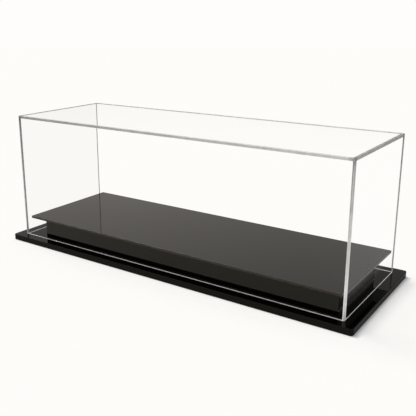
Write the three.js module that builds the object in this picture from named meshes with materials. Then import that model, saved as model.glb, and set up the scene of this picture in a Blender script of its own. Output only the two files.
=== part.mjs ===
// Display case for a row of mini helmets: a clear acrylic cover of five panels stands on a
// black acrylic base plate, over a low black riser that is cemented to the plate.
// Millimetres. The origin is the centre of the base plate's underside, +X runs along the
// case, +Y to its back and +Z up.

import * as THREE from 'three';

// Cover: outer sizes, its sheet and the rounding of its outer corners
const coverLength = 489;
const coverWidth = 161.5;
const coverHeight = 174.8;
const coverSheet = 3.175;
const coverCornerRadius = 1.5;

// Base plate: how far it stands out past the cover, its sheet, corners and eased edges
const baseEndMargin = 14;
const baseSideMargin = 12.5;
const baseSheet = 7.94;
const baseCornerRadius = 4;
const baseEdgeEase = 0.8;

// Riser: its sheet, the height of its walls, and the play between its top and the cover
const riserSheet = 3.175;
const riserWallHeight = 25.4;
const riserLeftPlay = 7.7;
const riserRightPlay = 2;
const riserSidePlay = 0.5;
const riserCornerRadius = 0.8;
const riserEdgeEase = 0.3;

// Riser walls: how far each one stands in from the edge of the riser's top
const riserLeftInset = 29.8;
const riserRightInset = 3.2;
const riserFrontInset = 0.5;
const riserBackInset = 50.5;

// Solvent cement between two sheets, and the steps of a rounded corner or edge
const cementLine = 0.05;
const cornerSteps = 6;
const easeSteps = 3;

// Heights of the faces that the pieces stand on
const coverWallHeight = coverHeight - coverSheet - cementLine;
const coverTopLevel = baseSheet + coverWallHeight + cementLine;
const riserWallLevel = baseSheet + cementLine;
const riserTopLevel = riserWallLevel + riserWallHeight + cementLine;

// Edges of the cover, seen from above
const coverRight = coverLength / 2;
const coverBack = coverWidth / 2;
const coverLeft = -coverRight;
const coverFront = -coverBack;

// Edges of the riser's top, which fits inside the cover's walls
const riserLeft = coverLeft + coverSheet + riserLeftPlay;
const riserRight = coverRight - coverSheet - riserRightPlay;
const riserFront = coverFront + coverSheet + riserSidePlay;
const riserBack = coverBack - coverSheet - riserSidePlay;

// Edges of the frame that the riser's walls make under it
const wallsLeft = riserLeft + riserLeftInset;
const wallsRight = riserRight - riserRightInset;
const wallsFront = riserFront + riserFrontInset;
const wallsBack = riserBack - riserBackInset;

const clearAcrylic = () => new THREE.MeshStandardMaterial({
  color: 0xf4f7f8,
  roughness: 0.03,
  metalness: 0,
  transparent: true,
  opacity: 0.18,
});

const blackAcrylic = () => new THREE.MeshStandardMaterial({
  color: 0x0b0b0a,
  roughness: 0.05,
  metalness: 0,
});

// A rectangle with its own radius at each corner: front left, front right, back right, back left
function roundedOutline(left, front, right, back, radii) {
  const [frontLeft, frontRight, backRight, backLeft] = radii;
  const outline = new THREE.Shape();
  outline.moveTo(left + frontLeft, front);
  outline.lineTo(right - frontRight, front);
  if (frontRight > 0) {
    outline.absarc(right - frontRight, front + frontRight, frontRight, -Math.PI / 2, 0, false);
  }
  outline.lineTo(right, back - backRight);
  if (backRight > 0) {
    outline.absarc(right - backRight, back - backRight, backRight, 0, Math.PI / 2, false);
  }
  outline.lineTo(left + backLeft, back);
  if (backLeft > 0) {
    outline.absarc(left + backLeft, back - backLeft, backLeft, Math.PI / 2, Math.PI, false);
  }
  outline.lineTo(left, front + frontLeft);
  if (frontLeft > 0) {
    outline.absarc(left + frontLeft, front + frontLeft, frontLeft, Math.PI, Math.PI * 3 / 2, false);
  }
  return outline;
}

// A sheet or strip standing on the level given, with the outline given as seen from above
function standingPiece(name, outline, level, height, material) {
  const geometry = new THREE.ExtrudeGeometry(outline, {
    depth: height,
    bevelEnabled: false,
    curveSegments: cornerSteps,
  });
  const piece = new THREE.Mesh(geometry, material);
  piece.name = name;
  piece.position.z = level;
  return piece;
}

// A flat plate whose upper and lower edges are both eased
function easedPlate(name, left, front, right, back, radius, ease, level, sheet, material) {
  const inner = radius - ease;
  const outline = roundedOutline(
    left + ease, front + ease, right - ease, back - ease, [inner, inner, inner, inner]);
  const geometry = new THREE.ExtrudeGeometry(outline, {
    depth: sheet - 2 * ease,
    bevelEnabled: true,
    bevelThickness: ease,
    bevelSize: ease,
    bevelSegments: easeSteps,
    curveSegments: cornerSteps,
  });
  const piece = new THREE.Mesh(geometry, material);
  piece.name = name;
  piece.position.z = level + ease;
  return piece;
}

// The plate that everything stands on
function basePlate() {
  return easedPlate('base_plate',
    coverLeft - baseEndMargin, coverFront - baseSideMargin,
    coverRight + baseEndMargin, coverBack + baseSideMargin,
    baseCornerRadius, baseEdgeEase, 0, baseSheet, blackAcrylic());
}

// The raised shelf for the helmets
function riserTop() {
  return easedPlate('riser_top_plate',
    riserLeft, riserFront, riserRight, riserBack,
    riserCornerRadius, riserEdgeEase, riserTopLevel, riserSheet, blackAcrylic());
}

// The frame of strips under the shelf: two long ones, and two short ones between them
function riserWalls() {
  const square = [0, 0, 0, 0];
  const endFront = wallsFront + riserSheet + cementLine;
  const endBack = wallsBack - riserSheet - cementLine;
  const edges = {
    riser_front_wall: [wallsLeft, wallsFront, wallsRight, wallsFront + riserSheet],
    riser_back_wall: [wallsLeft, wallsBack - riserSheet, wallsRight, wallsBack],
    riser_left_wall: [wallsLeft, endFront, wallsLeft + riserSheet, endBack],
    riser_right_wall: [wallsRight - riserSheet, endFront, wallsRight, endBack],
  };
  return Object.entries(edges).map(([name, [left, front, right, back]]) => standingPiece(
    name, roundedOutline(left, front, right, back, square), riserWallLevel, riserWallHeight,
    blackAcrylic()));
}

// The cover's walls: the long front and back, with their outer corners rounded, and the two
// ends between them
function coverWalls() {
  const round = coverCornerRadius;
  const endFront = coverFront + coverSheet + cementLine;
  const endBack = coverBack - coverSheet - cementLine;
  const outlines = {
    cover_front_panel: roundedOutline(
      coverLeft, coverFront, coverRight, coverFront + coverSheet, [round, round, 0, 0]),
    cover_back_panel: roundedOutline(
      coverLeft, coverBack - coverSheet, coverRight, coverBack, [0, 0, round, round]),
    cover_left_panel: roundedOutline(
      coverLeft, endFront, coverLeft + coverSheet, endBack, [0, 0, 0, 0]),
    cover_right_panel: roundedOutline(
      coverRight - coverSheet, endFront, coverRight, endBack, [0, 0, 0, 0]),
  };
  return Object.entries(outlines).map(([name, outline]) => standingPiece(
    name, outline, baseSheet, coverWallHeight, clearAcrylic()));
}

// The panel that closes the cover, on all four walls
function coverTop() {
  const round = coverCornerRadius;
  const outline = roundedOutline(
    coverLeft, coverFront, coverRight, coverBack, [round, round, round, round]);
  return standingPiece('cover_top_panel', outline, coverTopLevel, coverSheet, clearAcrylic());
}

// The base and riser stay on the shelf together
const stand = new THREE.Group();
stand.add(basePlate(), ...riserWalls(), riserTop());

// The cover lifts off in one piece
const cover = new THREE.Group();
cover.add(...coverWalls(), coverTop());

const displayCase = new THREE.Group();
displayCase.add(stand, cover);

export default displayCase;
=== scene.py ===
import math
import bmesh
import bpy
from mathutils import Matrix, Vector


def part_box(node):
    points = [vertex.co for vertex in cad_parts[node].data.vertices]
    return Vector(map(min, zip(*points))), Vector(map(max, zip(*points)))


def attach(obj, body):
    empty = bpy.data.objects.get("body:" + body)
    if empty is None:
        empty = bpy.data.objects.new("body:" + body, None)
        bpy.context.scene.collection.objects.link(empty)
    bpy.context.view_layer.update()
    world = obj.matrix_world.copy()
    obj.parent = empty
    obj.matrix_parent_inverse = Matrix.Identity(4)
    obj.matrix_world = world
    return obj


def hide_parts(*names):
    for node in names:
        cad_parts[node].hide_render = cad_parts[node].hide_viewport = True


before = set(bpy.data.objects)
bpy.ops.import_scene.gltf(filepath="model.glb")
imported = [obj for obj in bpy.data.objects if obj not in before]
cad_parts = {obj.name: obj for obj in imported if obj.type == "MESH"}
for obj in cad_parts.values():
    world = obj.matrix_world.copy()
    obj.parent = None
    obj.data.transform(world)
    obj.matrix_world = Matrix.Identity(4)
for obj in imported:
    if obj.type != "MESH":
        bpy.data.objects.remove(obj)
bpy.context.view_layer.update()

# The camera stands where the photograph was taken from: a little above the case, off its
# front right corner. Its place and lens come from the straight edges of the cover. The
# picture is 416 pixels a side.
picture_side = 416
sensor_width = 36.0
focal_pixels = 627.57
centre_pixel = (181.99, 188.54)
camera_place = Vector((0.4516, -0.6633, 0.3166))
camera_azimuth = math.radians(35.404)
camera_elevation = math.radians(15.375)
camera_roll = math.radians(-0.318)


def add_object(name, data):
    """A new object in the scene, at the origin."""
    item = bpy.data.objects.new(name, data)
    bpy.context.scene.collection.objects.link(item)
    return item


camera_data = bpy.data.cameras.new("camera")
camera_data.sensor_width = sensor_width
camera_data.lens = focal_pixels * sensor_width / picture_side
camera_data.shift_x = 0.5 - centre_pixel[0] / picture_side
camera_data.shift_y = centre_pixel[1] / picture_side - 0.5
camera_data.clip_start = 0.02
camera = add_object("camera", camera_data)
camera_turn = (
    Matrix.Rotation(camera_azimuth, 4, "Z")
    @ Matrix.Rotation(math.pi / 2 - camera_elevation, 4, "X")
    @ Matrix.Rotation(camera_roll, 4, "Z")
)
camera.matrix_world = Matrix.Translation(camera_place) @ camera_turn
bpy.context.scene.camera = camera

# The base plate is 7.94 mm black acrylic with rounded plan corners and scraped edges, and the
# case stands flat on it. Every black sheet is made by one rule: the outline of its flat face
# carries the half section of its rounded edge all round.
plan_corner_steps = 10
edge_steps = 6
weld_distance = 0.000005


def add_node(tree, kind, inputs, **settings):
    """A new node. Its inputs are named or numbered, each with a value or another node's output."""
    node = tree.nodes.new(kind)
    for name, value in settings.items():
        setattr(node, name, value)
    for name, value in inputs.items():
        socket = node.inputs[name]
        if isinstance(value, bpy.types.NodeSocket):
            tree.links.new(value, socket)
        else:
            socket.default_value = value
    return node


def calculate(tree, operation, *values):
    """The output of a Math node with these values."""
    return add_node(tree, "ShaderNodeMath", dict(enumerate(values)), operation=operation).outputs[0]


def sheet_tree():
    """Nodes that make a sheet with rounded corners and edges, lying level about the origin."""
    tree = bpy.data.node_groups.new("acrylic_sheet", "GeometryNodeTree")
    tree.interface.new_socket("Geometry", in_out="OUTPUT", socket_type="NodeSocketGeometry")
    for name in ("Length", "Width", "Thickness", "Corner Radius", "Edge Radius"):
        tree.interface.new_socket(name, in_out="INPUT", socket_type="NodeSocketFloat")
    steps = tree.interface.new_socket("Edge Steps", in_out="INPUT", socket_type="NodeSocketInt")
    steps.default_value = edge_steps
    tree.interface.new_socket("Material", in_out="INPUT", socket_type="NodeSocketMaterial")
    given = tree.nodes.new("NodeGroupInput").outputs

    # The outline of the flat face, which ends where the rounded edge begins
    edge_width = calculate(tree, "MULTIPLY", given["Edge Radius"], 2.0)
    outline = add_node(tree, "GeometryNodeCurvePrimitiveQuadrilateral", {
        "Width": calculate(tree, "SUBTRACT", given["Length"], edge_width),
        "Height": calculate(tree, "SUBTRACT", given["Width"], edge_width),
    })
    rounded = add_node(tree, "GeometryNodeFilletCurve", {
        "Curve": outline.outputs[0],
        "Radius": calculate(tree, "SUBTRACT", given["Corner Radius"], given["Edge Radius"]),
        "Count": plan_corner_steps,
    }, mode="POLY")

    # The half section: a quarter round, straight down and another quarter round
    doubled_steps = calculate(tree, "MULTIPLY", given["Edge Steps"], 2.0)
    line = add_node(tree, "GeometryNodeMeshLine", {
        "Count": calculate(tree, "ADD", doubled_steps, 2.0),
    })
    index = tree.nodes.new("GeometryNodeInputIndex").outputs[0]
    lower = calculate(tree, "GREATER_THAN", index, given["Edge Steps"])
    step = calculate(tree, "SUBTRACT", index, lower)
    turned = calculate(tree, "DIVIDE", step, given["Edge Steps"])
    angle = calculate(tree, "MULTIPLY", turned, math.pi / 2)
    half_thickness = calculate(tree, "MULTIPLY", given["Thickness"], 0.5)
    straight = calculate(tree, "SUBTRACT", half_thickness, given["Edge Radius"])
    side = calculate(tree, "SUBTRACT", 1.0, calculate(tree, "MULTIPLY", lower, 2.0))
    across = calculate(tree, "MULTIPLY", calculate(tree, "SINE", angle), given["Edge Radius"])
    rise = calculate(tree, "MULTIPLY", calculate(tree, "COSINE", angle), given["Edge Radius"])
    upward = calculate(tree, "ADD", rise, calculate(tree, "MULTIPLY", side, straight))
    place = add_node(tree, "ShaderNodeCombineXYZ", {"X": across, "Y": upward})
    shaped = add_node(tree, "GeometryNodeSetPosition", {
        "Geometry": line.outputs[0],
        "Position": place.outputs[0],
    })
    section = add_node(tree, "GeometryNodeMeshToCurve", {0: shaped.outputs[0]})
    edge = add_node(tree, "GeometryNodeCurveToMesh", {
        "Curve": rounded.outputs[0],
        "Profile Curve": section.outputs[0],
    })

    # The two flat faces close the edge above and below
    face = add_node(tree, "GeometryNodeFillCurve", {"Curve": rounded.outputs[0]}, mode="NGONS")
    joined = add_node(tree, "GeometryNodeJoinGeometry", {0: edge.outputs[0]})
    for share in (0.5, -0.5):
        height = add_node(tree, "ShaderNodeCombineXYZ", {
            "Z": calculate(tree, "MULTIPLY", given["Thickness"], share),
        })
        moved = add_node(tree, "GeometryNodeTransform", {
            "Geometry": face.outputs[0],
            "Translation": height.outputs[0],
        })
        tree.links.new(moved.outputs[0], joined.inputs[0])
    welded = add_node(tree, "GeometryNodeMergeByDistance", {
        "Geometry": joined.outputs[0],
        "Distance": weld_distance,
    })
    smooth = add_node(tree, "GeometryNodeSetShadeSmooth", {"Geometry": welded.outputs[0]})
    real = add_node(tree, "GeometryNodeRealizeInstances", {0: smooth.outputs[0]})
    painted = add_node(tree, "GeometryNodeSetMaterial", {
        "Geometry": real.outputs[0],
        "Material": given["Material"],
    })
    add_node(tree, "NodeGroupOutput", {0: painted.outputs[0]})
    return tree


def thin_axis(size):
    """The axis that a piece of this size is thin along."""
    return min(range(3), key=lambda axis: size[axis])


def face_outwards(mesh):
    """Turns every face of a closed mesh outwards."""
    shell = bmesh.new()
    shell.from_mesh(mesh)
    bmesh.ops.recalc_face_normals(shell, faces=shell.faces)
    shell.to_mesh(mesh)
    shell.free()


def evaluated_mesh(piece):
    """The piece's mesh with its modifiers applied. They are then taken off the piece."""
    depsgraph = bpy.context.evaluated_depsgraph_get()
    mesh = bpy.data.meshes.new_from_object(piece.evaluated_get(depsgraph))
    piece.modifiers.clear()
    return mesh


def weight_normals(piece):
    """Weights the normals by face size, so that a mirror-flat face stays flat up to its rim."""
    modifier = piece.modifiers.new("flat faces", "WEIGHTED_NORMAL")
    modifier.weight = 100
    piece.data = evaluated_mesh(piece)


black_sheet_tree = sheet_tree()

# For each thin axis: the axes of the sheet's length and width, and the turn that stands it so
sheet_stands = {
    0: (1, 2, Matrix(((0, 0, 1), (1, 0, 0), (0, 1, 0))).to_4x4()),
    1: (0, 2, Matrix(((1, 0, 0), (0, 0, -1), (0, 1, 0))).to_4x4()),
    2: (0, 1, Matrix.Identity(4)),
}

# The least part of a normal that lies along the thin axis on a flat face
flat_share = 0.99


def black_sheet(node, corner_radius, edge_radius, material, edge_material):
    """A sheet that fills the node's box, thin the way that the box is thin."""
    low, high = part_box(node)
    size = high - low
    thin = thin_axis(size)
    length_axis, width_axis, turn = sheet_stands[thin]
    piece = add_object(node + "_sheet", bpy.data.meshes.new(node))
    modifier = piece.modifiers.new("sheet", "NODES")
    modifier.node_group = black_sheet_tree
    wanted = {
        "Length": size[length_axis],
        "Width": size[width_axis],
        "Thickness": size[thin],
        "Corner Radius": corner_radius,
        "Edge Radius": edge_radius,
        "Material": material,
    }
    for item in black_sheet_tree.interface.items_tree:
        if item.name in wanted:
            modifier[item.identifier] = wanted[item.name]
    mesh = evaluated_mesh(piece)
    mesh.transform(Matrix.Translation((low + high) / 2) @ turn)
    face_outwards(mesh)
    mesh.materials.clear()
    mesh.materials.append(material)
    mesh.materials.append(edge_material)
    for polygon in mesh.polygons:
        polygon.material_index = 0 if abs(polygon.normal[thin]) > flat_share else 1
    piece.data = mesh
    weight_normals(piece)
    return piece


def ramp(tree, value, span):
    """A share that follows the value: the span gives two values, and the share at each of them."""
    inputs = dict(zip(("From Min", "From Max", "To Min", "To Max"), span))
    return add_node(tree, "ShaderNodeMapRange", {"Value": value, **inputs}).outputs["Result"]


def unevenness(tree, place, scale, detail):
    """Noise over the piece, mostly between 0.3 and 0.7."""
    inputs = {"Vector": place, "Scale": scale, "Detail": detail}
    return add_node(tree, "ShaderNodeTexNoise", inputs).outputs["Fac"]


def new_material(name):
    """A new material, its node tree, and the place on the piece that its patterns follow."""
    material = bpy.data.materials.new(name)
    material.use_nodes = True
    tree = material.node_tree
    return material, tree, tree.nodes.new("ShaderNodeTexCoord").outputs["Object"]


def black_acrylic(name, colour, bending, roughness, haze_and_painted_reflection, tint=(1.0, 0.96, 0.88)):
    """Cast black acrylic: a mirror-like skin over black, with a faint haze where it was wiped."""
    material, tree, place = new_material(name)
    surface = tree.nodes["Principled BSDF"]
    surface.inputs["Base Color"].default_value = (*colour, 1.0)
    surface.inputs["IOR"].default_value = bending
    surface.inputs["Specular Tint"].default_value = (*tint, 1.0)
    wiped = unevenness(tree, place, scale=14.0, detail=5.0)
    hazed = ramp(tree, wiped, (0.35, 0.75, roughness, roughness + haze_and_painted_reflection))
    tree.links.new(hazed, surface.inputs["Roughness"])
    return material


base_acrylic = black_acrylic(
    "base_black_acrylic", colour=(0.0006, 0.0006, 0.0005), bending=1.19, roughness=0.01, haze_and_painted_reflection=0.02)
base_edge_acrylic = black_acrylic(
    "scraped_black_edge", colour=(0.012, 0.0117, 0.0095), bending=1.10, roughness=0.34, haze_and_painted_reflection=0.12)
base = black_sheet(
    "base_plate", corner_radius=0.004, edge_radius=0.0005,
    material=base_acrylic, edge_material=base_edge_acrylic)
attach(base, "stand")
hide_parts("base_plate")

# The riser's four walls are strips of 3.175 mm black acrylic on edge, cemented to the base
# plate and to each other: two long ones, and two short ones between them. The front one is
# flush with the shelf that they carry.
long_wall_acrylic = black_acrylic(
    "riser_black_acrylic", colour=(0.002, 0.0018, 0.0014), bending=1.30, roughness=0.03,
    haze_and_painted_reflection=0.03, tint=(1.0, 0.94, 0.76))
end_wall_acrylic = black_acrylic(
    "end_wall_black_acrylic", colour=(0.001, 0.001, 0.0008), bending=1.32, roughness=0.19,
    haze_and_painted_reflection=0.08)
wall_acrylics = {
    "front": long_wall_acrylic,
    "back": long_wall_acrylic,
    "left": end_wall_acrylic,
    "right": end_wall_acrylic,
}
for side, wall_acrylic in wall_acrylics.items():
    wall_node = f"riser_{side}_wall"
    wall = black_sheet(
        wall_node, corner_radius=0.0005, edge_radius=0.0002,
        material=wall_acrylic, edge_material=wall_acrylic)
    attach(wall, "stand")
    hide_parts(wall_node)

# The riser's top is the shelf that the helmets stand on: one sheet of 3.175 mm black acrylic
# laid on the walls and cemented to them. It stands out past them at the back and both ends.
shelf_acrylic = black_acrylic(
    "shelf_black_acrylic", colour=(0.003, 0.0026, 0.0024), bending=1.46, roughness=0.05,
    haze_and_painted_reflection=0.02)
shelf_edge_acrylic = black_acrylic(
    "shelf_black_edge", colour=(0.038, 0.031, 0.025), bending=1.36, roughness=0.25,
    haze_and_painted_reflection=0.10, tint=(1.0, 0.88, 0.74))
shelf = black_sheet(
    "riser_top_plate", corner_radius=0.0008, edge_radius=0.0003,
    material=shelf_acrylic, edge_material=shelf_edge_acrylic)
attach(shelf, "stand")
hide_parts("riser_top_plate")

# The cover is five panels of clear 3.175 mm acrylic, butted and joined with solvent cement:
# the ends stand between the front and the back, and the top lies on all four. Its outer
# corners and upper edges are polished round.
clear_bending = 1.49
mirror_power = 4.0
milky_white = (0.97, 0.94, 0.93)


def let_light_through(material, surface, tint, kinds):
    """Lets these kinds of rays straight through with a tint, and shows the shader to the others."""
    tree = material.node_tree
    path = tree.nodes.new("ShaderNodeLightPath")
    through = add_node(tree, "ShaderNodeBsdfTransparent", {"Color": (tint, tint, tint, 1.0)})
    for kind in kinds:
        mix = add_node(tree, "ShaderNodeMixShader", {
            0: path.outputs[kind],
            1: surface,
            2: through.outputs[0],
        })
        surface = mix.outputs[0]
    tree.links.new(surface, tree.nodes["Material Output"].inputs["Surface"])


def clear_face(name, painted_reflection):
    """The polished faces of the sheets: they bend light, mirror a little and can carry a painted
    reflection, a faint glow.
    """
    material, tree, place = new_material(name)
    tree.nodes.remove(tree.nodes["Principled BSDF"])
    kept = 1.0 - painted_reflection
    bend = add_node(tree, "ShaderNodeBsdfRefraction", {
        "Color": (kept, kept, kept, 1.0),
        "Roughness": 0.0,
        "IOR": clear_bending,
    })
    mirror = add_node(tree, "ShaderNodeBsdfAnisotropic", {
        "Color": (1.0, 1.0, 1.0, 1.0),
        "Roughness": 0.0,
    })

    # The mirror's share, which shows less of the room than bare acrylic would, as in the photo
    fresnel = add_node(tree, "ShaderNodeFresnel", {"IOR": clear_bending}).outputs[0]
    wiped = unevenness(tree, place, scale=11.0, detail=3.0)
    mirrored = calculate(tree, "POWER", fresnel, mirror_power)
    gloss = calculate(tree, "MULTIPLY", mirrored, ramp(tree, wiped, (0.3, 0.7, 0.8, 1.2)))
    glass = add_node(tree, "ShaderNodeMixShader", {
        0: gloss,
        1: bend.outputs[0],
        2: mirror.outputs[0],
    })

    # A painted reflection: a faint glow that stands for the pale floor that an end panel mirrors at a
    # slant, above its foot
    height = add_node(tree, "ShaderNodeSeparateXYZ", {0: place}).outputs["Z"]
    slanted = ramp(tree, fresnel, (0.06, 0.19, 0.0, painted_reflection))
    above_foot = ramp(tree, height, (0.024, 0.042, 0.0, 1.0))
    # The glow of the painted reflection, strongest at a slant and above the foot
    haze_and_painted_reflection = add_node(tree, "ShaderNodeEmission", {
        "Strength": calculate(tree, "MULTIPLY", slanted, above_foot),
    })
    veiled = add_node(tree, "ShaderNodeAddShader", {0: glass.outputs[0], 1: haze_and_painted_reflection.outputs[0]})
    material.cycles.emission_sampling = "NONE"
    let_light_through(
        material, veiled.outputs[0], tint=0.99, kinds=("Is Shadow Ray", "Is Diffuse Ray"))
    return material


def clear_edge(name, painted_glow, painted_shade_spans):
    """Sawn and polished edges and cemented joints: a little milky, with a painted glow that stands
    for light piped in the sheet.

    Each span gives a painted shade along one axis: the ramp of the edge's brightness, lighter or
    darker as light falls on the cover.
    """
    material, tree, place = new_material(name)
    along = add_node(tree, "ShaderNodeSeparateXYZ", {0: place}).outputs
    # Painted shade: the edge is lighter or darker along each axis, as the light falls
    shares = [ramp(tree, along[axis], span) for axis, span in painted_shade_spans.items()]
    marks = unevenness(tree, place, scale=130.0, detail=4.0)
    shares.append(ramp(tree, marks, (0.3, 0.7, 0.86, 1.1)))

    # The edges are darker close to the cover's four upper corners
    one_side = add_node(tree, "ShaderNodeVectorMath", {0: place}, operation="ABSOLUTE")
    from_corner = add_node(tree, "ShaderNodeVectorMath", {
        0: one_side.outputs[0],
        1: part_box("cover_top_panel")[1],
    }, operation="DISTANCE")
    shares.append(ramp(tree, from_corner.outputs["Value"], (0.001, 0.009, 0.45, 1.0)))
    shade = add_node(tree, "ShaderNodeCombineXYZ", dict(zip("XYZ", milky_white)))
    for share in shares:
        shade = add_node(tree, "ShaderNodeVectorMath", {
            0: shade.outputs[0],
            "Scale": share,
        }, operation="SCALE")
    surface = tree.nodes["Principled BSDF"]
    tree.links.new(shade.outputs[0], surface.inputs["Base Color"])
    # The painted glow: the edge gives off light in its own painted shade
    tree.links.new(shade.outputs[0], surface.inputs["Emission Color"])
    surface.inputs["Roughness"].default_value = 0.35
    surface.inputs["IOR"].default_value = clear_bending
    surface.inputs["Transmission Weight"].default_value = 0.1
    surface.inputs["Emission Strength"].default_value = painted_glow
    material.cycles.emission_sampling = "NONE"
    let_light_through(material, surface.outputs[0], tint=0.5, kinds=("Is Shadow Ray",))
    return material


# The materials of a panel's edges, and their places on it after the material of its faces
long_edges, end_edges, right_foot, front_foot = range(1, 5)
# Each edge material carries a painted glow, and painted shade that grows lighter or darker along the
# case
edge_acrylics = [
    clear_edge("clear_acrylic_long_edge", painted_glow=0.04, painted_shade_spans={
        "X": (-0.245, 0.2, 0.42, 0.86),
        "Z": (0.008, 0.02, 0.72, 1.0),
    }),
    clear_edge("clear_acrylic_end_edge", painted_glow=0.25, painted_shade_spans={
        "Y": (-0.08, 0.08, 0.95, 0.5),
        "Z": (0.05, 0.18, 0.9, 0.3),
    }),
    clear_edge("clear_acrylic_foot", painted_glow=0.34, painted_shade_spans={"Y": (-0.08, 0.08, 0.7, 1.15)}),
    clear_edge("clear_acrylic_front_foot", painted_glow=0.05, painted_shade_spans={"X": (-0.245, 0.1, 0.85, 0.75)}),
]
# The end panels' faces carry a faint painted reflection of the floor
face_acrylic = clear_face("clear_acrylic_face", painted_reflection=0.0)
end_face_acrylic = clear_face("clear_acrylic_end_face", painted_reflection=0.02)

# How far a normal leans down on a foot, and along the case on an upright end edge
foot_lean = 0.3
end_lean = 0.7


def edge_material_index(normal, low, high):
    """The material of an edge face, by its normal and by where its panel is."""
    faces_down = normal.z < -foot_lean
    if faces_down and high.y < 0:
        return front_foot
    if faces_down and low.x > 0:
        return right_foot
    if abs(normal.x) > end_lean or low.x > 0:
        return end_edges
    return long_edges


upright_length = 0.1


def is_outer_corner(side, edge, middle):
    """True for an edge of this side's panel that makes an outer corner or upper edge of the cover."""
    first, second = (corner.co for corner in edge.verts)
    offset = (first + second) / 2 - middle
    if side == "top":
        return offset.z >= 0
    is_upright = abs(first.z - second.z) > upright_length
    outward = {"front": -1, "back": 1, "left": 0, "right": 0}[side]
    return is_upright and offset.y * outward > 0


polished_radius = 0.0013
rim_radius = 0.0002
sharp_angle = math.radians(60)
base_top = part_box("base_plate")[1].z
foot_lift = 0.00003


def clear_panel(node, side):
    """A panel that fills the node's box, just clear of the base plate."""
    low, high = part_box(node)
    low.z = max(low.z, base_top + foot_lift)
    size = high - low
    thin = thin_axis(size)
    middle = (low + high) / 2
    shell = bmesh.new()
    bmesh.ops.create_cube(shell, size=1.0)
    bmesh.ops.scale(shell, vec=size, verts=shell.verts)
    bmesh.ops.translate(shell, vec=middle, verts=shell.verts)
    outer = [e for e in shell.edges if is_outer_corner(side, e, middle)]
    bmesh.ops.bevel(
        shell, geom=outer, offset=polished_radius, segments=6, profile=0.5, affect="EDGES")
    sharp = [e for e in shell.edges if e.calc_face_angle(0) > sharp_angle]
    bmesh.ops.bevel(
        shell, geom=sharp, offset=rim_radius, segments=2, profile=0.5, affect="EDGES")
    for face in shell.faces:
        if abs(face.normal[thin]) < flat_share:
            face.material_index = edge_material_index(face.normal, low, high)
    mesh = bpy.data.meshes.new(node)
    shell.to_mesh(mesh)
    shell.free()
    mesh.shade_smooth()
    piece = add_object(node + "_clear", mesh)
    weight_normals(piece)
    return piece


for side in ("front", "back", "left", "right", "top"):
    panel_node = f"cover_{side}_panel"
    panel = clear_panel(panel_node, side)
    panel_face = end_face_acrylic if side in ("left", "right") else face_acrylic
    for acrylic in (panel_face, *edge_acrylics):
        panel.data.materials.append(acrylic)
    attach(panel, "cover")
    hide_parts(panel_node)

# The cement that was pressed out of the cover's joints dried in the inner corners as a thin
# clear bead, a little milky: on all four sides under the top and up the back right corner.
bead_leg = 0.0005
bead_steps = 4
bead_skin = 0.00002
bead_start = 0.0005


def lay_bead(shell, start, end, first, second):
    """One bead with a hollow face, from start to end, in the corner between two directions."""
    outline = [(0.0, 0.0)]
    for step in range(bead_steps + 1):
        angle = step / bead_steps * math.pi / 2
        outline.append((bead_leg * (1 - math.sin(angle)), bead_leg * (1 - math.cos(angle))))
    rings = []
    for place in (start, end):
        rings.append([shell.verts.new(place + first * u + second * v) for u, v in outline])
    near, far = rings
    for index in range(len(outline)):
        following = (index + 1) % len(outline)
        shell.faces.new((near[index], near[following], far[following], far[index]))
    shell.faces.new(near)
    shell.faces.new(far)


left_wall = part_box("cover_left_panel")[1].x + bead_skin
right_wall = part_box("cover_right_panel")[0].x - bead_skin
front_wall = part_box("cover_front_panel")[1].y + bead_skin
back_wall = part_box("cover_back_panel")[0].y - bead_skin
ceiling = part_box("cover_top_panel")[0].z - bead_skin
down = Vector((0, 0, -1))
bead_shell = bmesh.new()
for y, inward in ((front_wall, 1), (back_wall, -1)):
    lay_bead(
        bead_shell, Vector((left_wall, y, ceiling)), Vector((right_wall, y, ceiling)),
        Vector((0, inward, 0)), down)
for x, inward in ((left_wall, 1), (right_wall, -1)):
    lay_bead(
        bead_shell, Vector((x, front_wall + bead_leg, ceiling)),
        Vector((x, back_wall - bead_leg, ceiling)), Vector((inward, 0, 0)), down)
lay_bead(
    bead_shell, Vector((right_wall, back_wall, base_top + bead_start)),
    Vector((right_wall, back_wall, ceiling - bead_leg)), Vector((-1, 0, 0)), Vector((0, -1, 0)))
bmesh.ops.recalc_face_normals(bead_shell, faces=bead_shell.faces)
bead_mesh = bpy.data.meshes.new("cement_beads")
bead_shell.to_mesh(bead_mesh)
bead_shell.free()
# The bead's material carries a painted glow, and painted shade that is darker towards the back
bead_mesh.materials.append(
    clear_edge("cement_bead", painted_glow=0.05, painted_shade_spans={"Y": (-0.08, 0.08, 0.9, 0.5)}))
beads = add_object("cement_beads", bead_mesh)
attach(beads, "cover")

# The floor is plain and pale. Unshaded it is as bright as the background, and near the case
# it takes the case's soft shadow.
background_colour = (0.991, 0.982, 0.965, 1.0)
floor_radius = 6.0
floor_mesh = bpy.data.meshes.new("floor")
floor_shell = bmesh.new()
bmesh.ops.create_circle(floor_shell, cap_ends=True, segments=96, radius=floor_radius)
floor_shell.to_mesh(floor_mesh)
floor_shell.free()
floor = add_object("floor", floor_mesh)
floor_paint = bpy.data.materials.new("floor_paint")
floor_paint.use_nodes = True
floor_tree = floor_paint.node_tree
floor_tree.nodes.remove(floor_tree.nodes["Principled BSDF"])
matt = add_node(floor_tree, "ShaderNodeBsdfDiffuse", {"Color": (0.78, 0.78, 0.78, 1.0)})
glow = add_node(floor_tree, "ShaderNodeEmission", {
    "Color": (0.93, 0.95, 1.0, 1.0),
    "Strength": 0.215,
})
added = add_node(floor_tree, "ShaderNodeAddShader", {0: matt.outputs[0], 1: glow.outputs[0]})
floor_tree.links.new(added.outputs[0], floor_tree.nodes["Material Output"].inputs["Surface"])
floor_mesh.materials.append(floor_paint)

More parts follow.
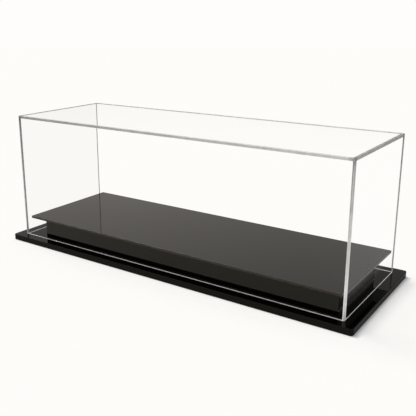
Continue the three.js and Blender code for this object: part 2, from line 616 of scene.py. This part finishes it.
# The light is that of a white studio: white behind the case, darker on the side of the
# camera, and two wide soft lamps above it on the left.
world = bpy.data.worlds.new("studio")
bpy.context.scene.world = world
world.use_nodes = True
world.cycles.sampling_method = "NONE"
sky = world.node_tree

# The room that the black sheets mirror: its light by the direction
direction = sky.nodes.new("ShaderNodeTexCoord").outputs["Generated"]
towards = add_node(sky, "ShaderNodeSeparateXYZ", {0: direction}).outputs
back_share = ramp(sky, towards["Y"], (-0.55, -0.05, 0.15, 0.58))
left_share = ramp(sky, towards["X"], (-0.62, -0.38, 1.0, 0.85))
studio = add_node(sky, "ShaderNodeBackground", {
    "Color": (1.0, 0.95, 0.91, 1.0),
    "Strength": calculate(sky, "MULTIPLY", back_share, left_share),
})
fill = add_node(sky, "ShaderNodeBackground", {
    "Color": (1.0, 1.0, 1.0, 1.0),
    "Strength": 0.205,
})
path = sky.nodes.new("ShaderNodeLightPath").outputs
lit = add_node(sky, "ShaderNodeMixShader", {
    0: path["Is Diffuse Ray"],
    1: studio.outputs[0],
    2: fill.outputs[0],
})

# The background is seen directly, and through the clear panels where nothing has mirrored it
background = sky.nodes["Background"]
background.inputs["Color"].default_value = background_colour
background.inputs["Strength"].default_value = 1.0
unmirrored = calculate(sky, "LESS_THAN", path["Glossy Depth"], 0.5)
through_panels = calculate(sky, "MULTIPLY", path["Is Transmission Ray"], unmirrored)
shown = add_node(sky, "ShaderNodeMixShader", {
    0: calculate(sky, "MAXIMUM", path["Is Camera Ray"], through_panels),
    1: lit.outputs[0],
    2: background.outputs[0],
})
sky.links.new(shown.outputs[0], sky.nodes["World Output"].inputs["Surface"])

# Each lamp: its strength, the degrees that it spans, and the direction towards it
lamps = {
    "side_lamp": (1.81, 20, (-0.62, 0.05, 0.78)),
    "upper_lamp": (1.18, 22, (-0.30, 0.03, 0.95)),
}
for name, (energy, width, lamp_direction) in lamps.items():
    lamp_data = bpy.data.lights.new(name, "SUN")
    lamp_data.color = (1.0, 0.973, 0.922)
    lamp_data.angle = math.radians(width)
    lamp_data.energy = energy
    lamp = add_object(name, lamp_data)
    lamp.matrix_world = Vector(lamp_direction).to_track_quat("Z", "Y").to_matrix().to_4x4()

# No light path ends by chance in its first eight bounces, which keeps the dark mirrors clean
bpy.context.scene.cycles.min_light_bounces = 8
bpy.context.scene.view_settings.view_transform = "Standard"
